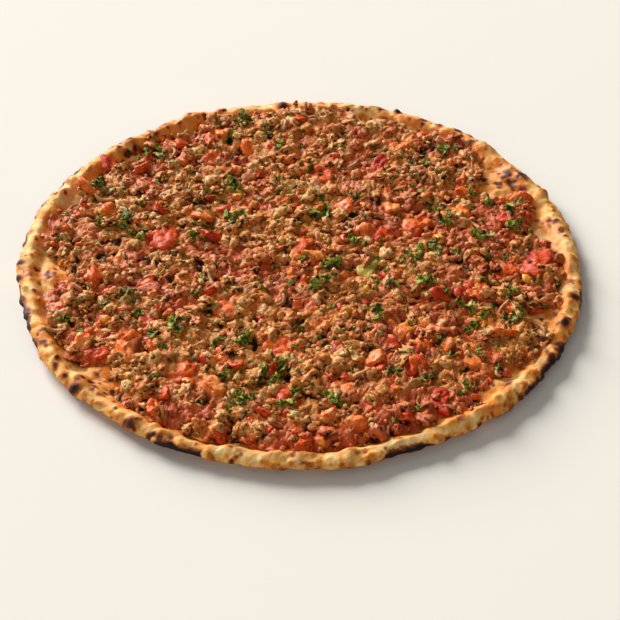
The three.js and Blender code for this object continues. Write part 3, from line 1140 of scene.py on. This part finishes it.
@dataclass
class MinceBed:
    """The core of the mince: its lumpy surface, which the loose crumbs lie on."""

    plan: Plan
    bread: Flatbread
    grid: int = 262
    depth: float = 3.1
    edge_depth: float = 0.9
    fade: float = 9.0
    heap_height: float = 1.7
    clump_size: float = 6.0
    grain_size: float = 2.5
    lowered: float = 0.9
    tucks: tuple[Span, ...] = ((0.995, 0.02), (0.96, 0.05), (0.92, 0.1), (0.85, 0.1))
    tuck_depth: float = 0.6
    heaped: Span = (-0.3, 0.28)
    redness: float = 0.34
    edge_redness: float = 0.35
    edge_reach: float = 9.0
    right_redness: float = 0.22
    right_span: Span = (-90.0, 110.0)
    gap_redness: float = 0.34
    weights: Grain = (2.1, 1.3, 0.7, 1.3)
    broad: Uneven = Uneven(71, 20.0, 3, 0.7)
    heaps: Uneven = Uneven(75, 11.0, 3)
    reddened: Uneven = Uneven(81, 26.0, 4, 0.5)
    clump_warp: Uneven = Uneven(92, 5.0, 1, 1.3)
    grain_warp: Uneven = Uneven(94, 2.5, 1, 0.6)
    fine_skin: Uneven = Uneven(95, 1.3)
    pits: Uneven = Uneven(97, 5.5)

    def swell(self, x: Array, y: Array) -> Array:
        """The bed's height without its small lumps."""
        distance, bearing = self.plan.away(x, y)
        full = ease(self.plan.mince_edge(bearing) - distance, -0.5, self.fade)
        heaped = self.heap_height * (self.heap(x, y) - 0.5)
        crown = self.bread.crown(self.plan.outline(bearing) - distance)
        return crown + blend(self.edge_depth, self.depth, full) + (self.broad.over(x, y) + heaped) * full

    def heap(self, x: Array, y: Array) -> Array:
        """How heaped the mince is at a place, from 0 in the wet gaps to 1 on the heaps."""
        return ease(self.heaps.over(x, y), *self.heaped)

    def stain(self, x: Array, y: Array) -> Array:
        """How red the tomato juice has made a place, from 0 to 1."""
        distance, bearing = self.plan.away(x, y)
        rim = np.exp(-np.maximum(self.plan.mince_edge(bearing) - distance, 0) / self.edge_reach)
        right = self.right_redness * (ease(x - 0.3 * y, *self.right_span) - 0.5)
        gap = self.gap_redness * (0.5 - self.heap(x, y))
        return np.clip(self.redness + self.reddened.over(x, y) + self.edge_redness * rim + right + gap, 0, 1)

    def shape(self) -> Shape:
        """Builds the bed with its marks."""
        side = np.linspace(-1, 1, self.grid)
        a, b = (part.ravel() for part in np.meshgrid(side, side, indexing="ij"))
        wide = np.abs(a) >= np.abs(b)
        safe_a, safe_b = np.where(a == 0, 1e-9, a), np.where(b == 0, 1e-9, b)
        share = np.where(wide, a, b)
        bearing = np.where(wide, (math.pi / 4) * b / safe_a, math.pi / 2 - (math.pi / 4) * a / safe_b)
        bearing = np.where(share < 0, bearing + math.pi, bearing)
        share = np.abs(share)
        x, y = polar(self.plan.centre, share * self.plan.mince_edge(bearing), bearing)
        flat = np.stack([x, y], -1)
        clump, clump_tag = Noise(91).lumps(flat + self.clump_warp.at(flat)[:, None], self.clump_size)
        grain, grain_tag = Noise(93).lumps(flat + self.grain_warp.at(flat)[:, None], self.grain_size)
        fine = self.fine_skin.at(flat)
        full = ease((1 - share) * 125, 0.0, 5.0)
        pit = ease(self.pits.at(flat), 0.12, 0.5)
        lumpy, grainy, rough, pitted = self.weights
        relief = (lumpy * clump + grainy * grain + rough * fine - pitted * pit) * (0.3 + 0.7 * full)
        z = self.swell(x, y) + relief - self.lowered
        index = np.arange(self.grid ** 2).reshape(self.grid, self.grid)
        a, b = index[:-1, :-1].ravel(), index[1:, :-1].ravel()
        c, d = index[1:, 1:].ravel(), index[:-1, 1:].ravel()
        faces = np.concatenate([np.stack([a, b, c], -1), np.stack([a, c, d], -1)])
        edge = np.concatenate([index[:-1, 0], index[-1, :-1], index[:0:-1, -1], index[0, :0:-1]])
        rings = []
        for inward, lift in self.tucks:
            rx, ry = (blend(self.plan.centre[k], (x, y)[k][edge], inward) for k in range(2))
            inset = self.plan.outline(bearing[edge]) - self.plan.away(rx, ry)[0]
            rings.append(np.stack([rx, ry, self.bread.crown(inset) + lift - self.tuck_depth], -1))
        count = self.grid ** 2
        steps = len(edge)
        under = np.concatenate(rings)
        middle = np.array([[*self.plan.centre, self.bread.base_height - 0.5]])
        after = np.roll(np.arange(steps), -1)
        wall = np.concatenate([np.stack([edge, count + after, edge[after]], -1),
                               np.stack([edge, count + np.arange(steps), count + after], -1)])
        below = ring_faces(len(rings), steps, count)
        last = count + (len(rings) - 1) * steps
        closing = fan_faces(count + len(under), last, steps, False)
        faces = np.concatenate([faces, wall, below[:, ::-1], closing[:, ::-1]])
        # Painted shade: the mark is low where the relief is low, between the lumps and grains and in the
        # pits, so these are painted darker.
        crease = np.clip(-0.02 + 0.5 * clump + 0.45 * grain + 0.3 * fine - 0.55 * pit, 0, 1)
        tint = np.clip(0.4 + 0.35 * (clump_tag - 0.5) + 0.4 * (grain_tag - 0.5), 0, 1)
        rest = len(under) + 1
        marks = {"tint": np.concatenate([tint, np.full(rest, 0.4)]),
                 "stain": np.concatenate([np.clip(self.stain(x, y) + 0.12, 0, 1), np.full(rest, 0.5)]),
                 "crease": np.concatenate([crease, np.full(rest, 0.3)])}
        return Shape(np.concatenate([np.stack([x, y, z], -1), under, middle]), faces, marks)


class Form(Enum):
    """What a loose bit is like."""

    CRUMB = "crumb"
    DICE = "dice"
    LEAF = "leaf"
    SHRED = "shred"


def block_reach(points: Array, draw: Draw, skew: float, near: Span,
                cuts: int, far: Span, upright: float = 1.0) -> Array:
    """How far a cut block with softened edges reaches.

    Args:
        points: The directions, one row each, of length 1.
        draw: Gives the chance numbers.
        skew: How far its six sides lean.
        near: The range of the sides' distances from the middle.
        cuts: How many further sides it has.
        far: The range of their distances.
        upright: How steeply they may lean, to 1.

    Returns:
        The reach in each direction.
    """
    sharpness = 9
    sides = np.concatenate([np.eye(3), -np.eye(3)]) + draw.normal(size=(6, 3)) * skew
    sides = np.concatenate([sides, draw.normal(size=(cuts, 3)) * [1, 1, upright]])
    sides /= np.linalg.norm(sides, axis=1, keepdims=True)
    apart = np.concatenate([draw.uniform(*near, 6), draw.uniform(*far, cuts)])
    facing = np.maximum(points @ sides.T / apart, 1e-3)
    return (facing ** sharpness).sum(1) ** (-1 / sharpness)


def any_noise(draw: Draw) -> Noise:
    """A noise with a drawn seed."""
    return Noise(int(draw.integers(9999)))


@dataclass
class Bits:
    """Loose bits of one kind, scattered over the mince or laid in given places.

    Margin is how far they keep off the larger pieces, inset how far in from the mince's edge they
    start, and gathered how closely they keep to the heaps, to 1. Lift is how far their middles
    stand above the bed, in half lengths, and tilt how far they lean, in radians.
    """

    bed: MinceBed
    form: Form
    sizes: Span
    level: int
    seed: int
    tints: Span = (0.0, 1.0)
    count: int = 0
    apart: float = 1.0
    margin: float = 0.0
    inset: float = 1.0
    gathered: float = 0.0
    flatness: float = 0.75
    lift: float = 0.2
    tilt: float = 0.5
    variants: int = 14
    tries: int = 14
    buried: float = 1.8

    def templates(self) -> list[Shape]:
        """Different bits of about unit radius, which the scattered ones are copies of."""
        draw = np.random.default_rng(self.seed)
        makers = {Form.CRUMB: self._crumb, Form.DICE: self._dice, Form.LEAF: self._leaf,
                  Form.SHRED: self._shred}
        return [makers[self.form](draw) for _ in range(self.variants)]

    def _crumb(self, draw: Draw) -> Shape:
        """A crumb: an uneven lump of small packed grains, with a rough skin and narrow creases."""
        base = ball(self.level)
        grains = draw.normal(size=(int(draw.integers(22, 40)), 3))
        grains /= np.linalg.norm(grains, axis=1, keepdims=True)
        rise = (np.exp(-(1 - base.points @ grains.T) / 0.035) * draw.uniform(0.5, 1.0, len(grains))).max(1)
        lump = any_noise(draw).layered(base.points, 1.1, 2)
        skin = any_noise(draw).smooth(base.points, 0.28)
        reach = 0.6 + 0.28 * lump + 0.4 * rise + 0.2 * skin
        stretch = np.array([draw.uniform(1.0, 1.6), 1.0, self.flatness])
        # Painted shade: darker in the dips between the grains and towards the crumb's underside.
        crease = np.clip(0.17 + 0.8 * rise + 0.6 * skin + 0.3 * base.points[:, 2], 0, 1)
        return Shape(base.points * reach[:, None] * stretch, base.faces, {"crease": crease})

    def _dice(self, draw: Draw) -> Shape:
        """A cut bit: a block with uneven sides and softened edges."""
        base = ball(self.level)
        reach = block_reach(base.points, draw, 0.16, (0.7, 0.95), 2, (0.85, 1.05))
        reach = reach * (1 + 0.42 * any_noise(draw).layered(base.points, 0.6, 3))
        stretch = np.array([draw.uniform(1.0, 1.5), 1.0, self.flatness])
        # Painted shade: darker towards the bit's underside.
        return Shape(base.points * reach[:, None] * stretch, base.faces,
                     {"crease": np.clip(0.55 + 0.6 * base.points[:, 2], 0, 1)})

    def _leaf(self, draw: Draw) -> Shape:
        """A curled leaflet: a thin lobed blade, crumpled and folded."""
        base = ball(self.level)
        x, y, z = base.points.T
        bearing = np.arctan2(y, x)
        lobed = 1 + 0.3 * np.cos(int(draw.integers(5, 8)) * bearing + draw.uniform(0, TURN))
        out = np.hypot(x, y) * lobed
        x, y = out * np.cos(bearing), out * np.sin(bearing)
        curl = any_noise(draw).layered(np.stack([x, y], -1), 0.55, 2)
        fold = draw.uniform(0.2, 0.6) * y ** 2
        points = np.stack([x * draw.uniform(1.0, 1.4), y, z * 0.14 + curl * 0.42 + fold], -1)
        # Painted shade: darker in the hollows of the crumpled leaflet.
        return Shape(points, base.faces, {"crease": np.clip(0.5 + 0.9 * curl, 0, 1)})

    def _shred(self, draw: Draw) -> Shape:
        """A limp strand: a flattened tube on a curved, wavy line, with tapered ends."""
        sides, rings = 7, 12
        along = np.linspace(-1, 1, rings)
        bow, wave = draw.uniform(0.2, 0.7), draw.uniform(-0.2, 0.2)
        middle = np.stack([along * 1.15, bow * (along ** 2 - 0.4) + wave * np.sin(3 * along),
                           0.1 * np.sin(4 * along + draw.uniform(0, TURN))], -1)
        bearing = np.linspace(0, TURN, sides, endpoint=False)
        thick = (0.2 * (1 - 0.85 * along ** 6) * (1 + 0.2 * draw.normal(size=rings) * 0.6))[:, None]
        round_it = [np.zeros((rings, sides)), thick * np.cos(bearing), 0.7 * thick * np.sin(bearing)]
        points = (middle[:, None] + np.stack(round_it, -1)).reshape(-1, 3)
        count = len(points)
        faces = np.concatenate([ring_faces(rings, sides)[:, ::-1], fan_faces(count, 0, sides, False),
                                fan_faces(count + 1, count - sides, sides, True)])[:, ::-1]
        ends = np.stack([middle[0] - [0.1, 0, 0], middle[-1] + [0.1, 0, 0]])
        # Painted shade: darker on the underside of the strand.
        crease = np.clip(np.tile(0.6 + 0.4 * np.sin(bearing), rings), 0, 1)
        return Shape(np.concatenate([points, ends]), faces, {"crease": np.concatenate([crease, [0.5, 0.5]])})

    def scatter(self, blocked: Sequence[Resting] = ()) -> Array:
        """Chooses places over the mince, no two nearer than the bits keep apart.

        Args:
            blocked: Soft pieces to keep off.

        Returns:
            Places in the plane, one row each.
        """
        draw = np.random.default_rng(self.seed + 1000)
        tries = self.count * self.tries
        bearing = draw.uniform(0, TURN, tries)
        reach = self.bed.plan.mince_edge(bearing) - self.inset
        x, y = polar(self.bed.plan.centre, reach * np.sqrt(draw.uniform(0, 1, tries)), bearing)
        open_place = draw.uniform(0, 1, tries) >= self.gathered * (1 - self.bed.heap(x, y))
        for piece in blocked:
            open_place &= ~piece.covers(x, y, self.margin)
        kept: list[Span] = []
        cells: dict[tuple[int, int], list[Span]] = {}
        for px, py in zip(x[open_place], y[open_place]):
            i, j = int(px // self.apart), int(py // self.apart)
            around = [q for di in (-1, 0, 1) for dj in (-1, 0, 1) for q in cells.get((i + di, j + dj), ())]
            if all((px - qx) ** 2 + (py - qy) ** 2 >= self.apart ** 2 for qx, qy in around):
                cells.setdefault((i, j), []).append((px, py))
                kept.append((px, py))
                if len(kept) == self.count:
                    break
        return np.array(kept)

    def laid(self, places: Array, sizes: Array | None = None) -> Shape:
        """Lays a bit on the bed at each place.

        Args:
            places: Where, one row each.
            sizes: Each bit's length in millimetres, or none for chance sizes.

        Returns:
            All the bits as one shape.
        """
        draw = np.random.default_rng(self.seed + 2000)
        templates = self.templates()
        heights = self.bed.swell(places[:, 0], places[:, 1])
        stains = self.bed.stain(places[:, 0], places[:, 1])
        shares = draw.uniform(0, 1, len(places)) ** 1.6
        lengths = blend(self.sizes[0], self.sizes[1], shares) if sizes is None else sizes
        made = []
        for k, (x, y) in enumerate(places):
            template = templates[int(draw.integers(len(templates)))]
            spin = turned(draw.uniform(0, TURN), *draw.normal(size=2) * self.tilt)
            half = lengths[k] / 2
            points = template.points @ spin.T * half + np.array([x, y, heights[k] + self.lift * half])
            above = points[:, 2] - heights[k]
            points[:, 2] = np.maximum(points[:, 2], heights[k] - self.buried)
            # Painted shade: each bit is darker towards the bed, as a contact shadow.
            shade = 0.3 + 0.7 * ease(above, -0.4, 1.7)
            tint = np.full(len(points), draw.uniform(*self.tints))
            stain = np.full(len(points), np.clip(stains[k] + draw.normal() * 0.18, 0, 1))
            marks = {"crease": template.marks["crease"] * shade, "tint": tint, "stain": stain}
            made.append(Shape(points, template.faces, marks))
        return Shape.joined(made)


def turned(turn: float, lean_x: float, lean_y: float) -> Array:
    """A rotation by a turn about Z after leaning about X and Y.

    Args:
        turn: About Z, in radians.
        lean_x: About X, in radians.
        lean_y: About Y, in radians.

    Returns:
        The rotation matrix.
    """
    cz, sz, cx, sx, cy, sy = (f(a) for a in (turn, lean_x, lean_y) for f in (math.cos, math.sin))
    about_z = np.array([[cz, -sz, 0], [sz, cz, 0], [0, 0, 1]])
    about_x = np.array([[1, 0, 0], [0, cx, -sx], [0, sx, cx]])
    about_y = np.array([[cy, 0, sy], [0, 1, 0], [-sy, 0, cy]])
    return about_z @ about_x @ about_y


@dataclass
class SoftPieces:
    """The larger pieces of tomato, pepper and onion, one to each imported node."""

    kind: str
    finish: Material
    tints: Span
    seed: int
    own_tints: dict[str, float] = field(default_factory=dict)
    level: int = 3
    sunk: float = 1.1

    def resting(self) -> list[Resting]:
        """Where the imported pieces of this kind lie."""
        return [Resting.of(node) for node in sorted(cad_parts) if node.startswith(self.kind + "_")]

    def build(self) -> None:
        """Makes each piece."""
        draw = np.random.default_rng(self.seed)
        for place in self.resting():
            shape = self._flesh(place, draw)
            shape.piece(f"soft_{place.node}", self.finish, self.kind, [place.node])

    def _flesh(self, place: Resting, draw: Draw) -> Shape:
        """A soft cut piece with uneven sides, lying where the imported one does.

        Args:
            place: Where it lies.
            draw: Gives the chance numbers.

        Returns:
            The piece.
        """
        base = ball(self.level)
        reach = block_reach(base.points, draw, 0.1, (0.82, 1.0), 3, (0.95, 1.15), 0.6)
        points = base.points * reach[:, None] * place.half * 1.06
        bumps = any_noise(draw)
        swell = 1.2 * bumps.layered(points, 4.2, 3) + 0.6 * bumps.layered(points + 50, 1.9, 2)
        points = points + base.points * swell[:, None]
        points[:, 1] += place.bend * (points[:, 0] ** 2 - place.half[0] ** 2 / 3)
        lean = draw.normal() * 0.12
        points[:, 2] += lean * points[:, 1] - self.sunk
        spun = np.stack([*along_axes(points[:, 0], points[:, 1], -place.turn), points[:, 2]], -1)
        # Painted shade: darker towards the underside and in the dips of the uneven sides.
        crease = np.clip(0.5 + 0.5 * base.points[:, 2] + 0.5 * swell, 0, 1)
        tint = self.own_tints.get(place.node, draw.uniform(*self.tints))
        marks = {"crease": crease, "tint": np.full(len(points), tint)}
        return Shape(spun + place.middle, base.faces, marks)


@dataclass
class Parsley:
    """Chopped curly parsley: scattered tufts of crumpled leaflets, and small flecks."""

    bed: MinceBed
    finish: Material
    tufts: int = 150
    apart: float = 10.0
    inset: float = 6.0
    tuft_sizes: Span = (3.6, 11.5)
    leaf_sizes: Span = (1.4, 3.2)
    leaflets: int = 7
    leaflet_share: Span = (0.26, 0.5)
    spread: float = 0.26
    flecks: int = 430
    fleck_apart: float = 3.6
    seed: int = 400

    def build(self) -> None:
        """Makes the tufts and the flecks."""
        draw = np.random.default_rng(self.seed)
        middles = Bits(self.bed, Form.LEAF, self.tuft_sizes, 1, self.seed, count=self.tufts,
                       apart=self.apart, inset=self.inset).scatter()
        places, sizes = [], []
        for middle in middles:
            size = blend(*self.tuft_sizes, draw.uniform() ** 1.8)
            for _ in range(self.leaflets):
                places.append(middle + draw.normal(size=2) * size * self.spread)
                sizes.append(size * draw.uniform(*self.leaflet_share))
        tufts = Bits(self.bed, Form.LEAF, self.tuft_sizes, 1, self.seed + 1, (0.2, 0.9), lift=1.6, tilt=0.6)
        tufts.laid(np.array(places), np.array(sizes)).piece("parsley_tufts", self.finish, "parsley")
        flecks = Bits(self.bed, Form.LEAF, self.leaf_sizes, 1, self.seed + 2, (0.1, 0.9), self.flecks,
                      self.fleck_apart, lift=1.9, tilt=0.7)
        flecks.laid(flecks.scatter()).piece("parsley_flecks", self.finish, "parsley")


@dataclass
class Topping:
    """Everything on the bread, in order."""

    plan: Plan
    bread: Flatbread

    @staticmethod
    def _finishes() -> dict[str, Material]:
        """Builds the toppings' materials, by slot."""
        # Each finish's last colour is the dark of its painted shade.
        soft = [SoftFinish("tomato_flesh", ((0.0, "a42004"), (0.35, "e04406"), (0.68, "f67e1c"),
                                            (1.0, "fdc27a")), "6e1206"),
                SoftFinish("pepper_flesh", ((0.0, "98140a"), (0.36, "d0300a"), (0.66, "ee7c10"),
                                            (0.86, "e8b030"), (1.0, "b6ae4a")), "6a1404"),
                SoftFinish("onion_flesh", ((0.0, "a0602c"), (0.5, "d09450"), (1.0, "ecc084")), "7a4418",
                           clear=0.15),
                SoftFinish("parsley_leaf", ((0.0, "3a420c"), (0.4, "727e1a"), (0.75, "aab03a"),
                                            (1.0, "d0cc74")), "18220c", wet=0.03, clear=0.02, gloss=0.15)]
        made = {finish.name.split("_")[0]: finish.material() for finish in soft}
        return {"mince": MinceFinish().material(), **made}

    @staticmethod
    def _loose(bed: MinceBed) -> dict[str, Bits]:
        """The loose bits that lie on the bed, by piece name."""
        crumb, dice = Form.CRUMB, Form.DICE
        return {
            "mince_clumps": Bits(bed, crumb, (8.5, 13.0), 3, 600, (0.2, 1.0), 112, 12.0, -2.0, 4.0, 0.95,
                                 flatness=0.6, lift=0.1),
            "mince_crumbs_coarse": Bits(bed, crumb, (5.0, 9.5), 2, 601, (0.1, 1.0), 485, 5.8, -2.6, 0.8,
                                        0.85, lift=0.42),
            "mince_crumbs_fine": Bits(bed, crumb, (2.6, 4.6), 1, 602, (0.0, 1.0), 1250, 3.4, -3.0, -0.8, 0.5,
                                      lift=1.0),
            "tomato_bits": Bits(bed, dice, (3.5, 9.0), 2, 603, (0.1, 0.95), 140, 9.0, 0.5, flatness=0.6,
                                lift=0.45),
            "pepper_bits": Bits(bed, dice, (2.5, 6.0), 1, 604, (0.3, 1.0), 90, 12.0, 0.5, flatness=0.6,
                                lift=0.6),
            "onion_bits": Bits(bed, dice, (2.5, 5.5), 1, 605, (0.0, 0.9), 90, 12.0, 0.5, flatness=0.45,
                               lift=0.6),
            "onion_strands": Bits(bed, Form.SHRED, (6.0, 13.0), 0, 606, (0.0, 0.6), 150, 9.0, lift=0.35,
                                  tilt=0.25)}

    def build(self) -> None:
        """Makes the mince, the larger pieces, the small bits and the parsley."""
        finishes = self._finishes()
        bed = MinceBed(self.plan, self.bread)
        bed.shape().piece("mince_core", finishes["mince"], "mince", ["mince_layer"])
        kinds = [SoftPieces("tomato", finishes["tomato"], (0.15, 0.85), 501),
                 SoftPieces("pepper", finishes["pepper"], (0.1, 0.9), 502,
                            {"pepper_10": 1.25, "pepper_11": 1.05}),
                 SoftPieces("onion", finishes["onion"], (0.3, 0.9), 503)]
        blocked = [place for kind in kinds for place in kind.resting()]
        for kind in kinds:
            kind.build()
        for name, bits in self._loose(bed).items():
            slot = name.split("_")[0]
            bits.laid(bits.scatter(blocked)).piece(name, finishes[slot], slot)
        Parsley(bed, finishes["parsley"]).build()


# ---- The studio


@dataclass(frozen=True)
class Lamp:
    """A soft square light: its place and side in metres, its power in watts and its colour."""

    name: str
    place: Triple
    size: float
    power: float
    shade: Triple

    def light(self) -> None:
        """Adds the light, facing the bread."""
        lamp = bpy.data.lights.new(self.name, "AREA")
        lamp.size = self.size
        lamp.energy = self.power
        lamp.color = self.shade
        made = bpy.data.objects.new(self.name, lamp)
        made.location = self.place
        made.rotation_euler = (-Vector(self.place)).to_track_quat("-Z", "Y").to_euler()
        bpy.context.scene.collection.objects.link(made)


@dataclass
class Studio:
    """A pale floor, soft light from behind on the left, and the camera."""

    key: Lamp = Lamp("key_light", (-6.15, 8.25, 4.55), 6.3, 2480.0, (1.0, 0.982, 0.96))
    fill: Lamp = Lamp("fill_light", (-1.4, -3.4, 1.9), 3.0, 26.0, (1.0, 0.985, 0.965))
    room_shade: Colour = (1.0, 0.98, 0.95, 1.0)
    room_strength: float = 0.21
    elevation: float = 42.0
    distance: float = 0.9
    aim: Triple = (0.0056, -0.033, 0.005)
    lens: float = 107.84
    sensor: float = 36.0
    floor_size: float = 6.0
    floor_gap: float = 0.0002

    def build(self) -> None:
        """Makes the floor, the lights and the camera."""
        self._floor()
        self.key.light()
        self.fill.light()
        world = bpy.data.worlds.new("soft_room")
        world.use_nodes = True
        backdrop = world.node_tree.nodes["Background"]
        backdrop.inputs["Color"].default_value = self.room_shade
        backdrop.inputs["Strength"].default_value = self.room_strength
        bpy.context.scene.world = world
        bpy.context.scene.view_settings.view_transform = "Standard"
        self._camera()

    def _floor(self) -> None:
        """Makes the floor just under the bread."""
        half = self.floor_size / 2
        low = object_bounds()[0][2] - self.floor_gap
        mesh = bpy.data.meshes.new("floor")
        corners = ((-half, -half), (half, -half), (half, half), (-half, half))
        mesh.from_pydata([(x, y, low) for x, y in corners], [], [(0, 1, 2, 3)])
        floor = bpy.data.objects.new("floor", mesh)
        floor.data.materials.append(FloorFinish().material())
        bpy.context.scene.collection.objects.link(floor)
        floor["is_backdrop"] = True

    def _camera(self) -> None:
        """Adds the camera, which looks down on the bread from the front."""
        lens = bpy.data.cameras.new("camera")
        lens.lens = self.lens
        lens.sensor_width = self.sensor
        camera = bpy.data.objects.new("camera", lens)
        rise = math.radians(self.elevation)
        back = Vector((0, -math.cos(rise), math.sin(rise)))
        camera.location = Vector(self.aim) + back * self.distance
        camera.rotation_euler = (math.radians(90 - self.elevation), 0, 0)
        bpy.context.scene.collection.objects.link(camera)
        bpy.context.scene.camera = camera


def main() -> None:
    """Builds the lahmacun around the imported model, and the studio round it."""
    logging.basicConfig(level=logging.INFO, format="%(name)s: %(message)s")
    Studio().build()
    plan = Plan()
    bread = Flatbread(plan)
    bread.shape().piece("bread", DoughFinish().material(), "dough", ["dough_base"])
    Topping(plan, bread).build()


if __name__ == "__main__":
    main()
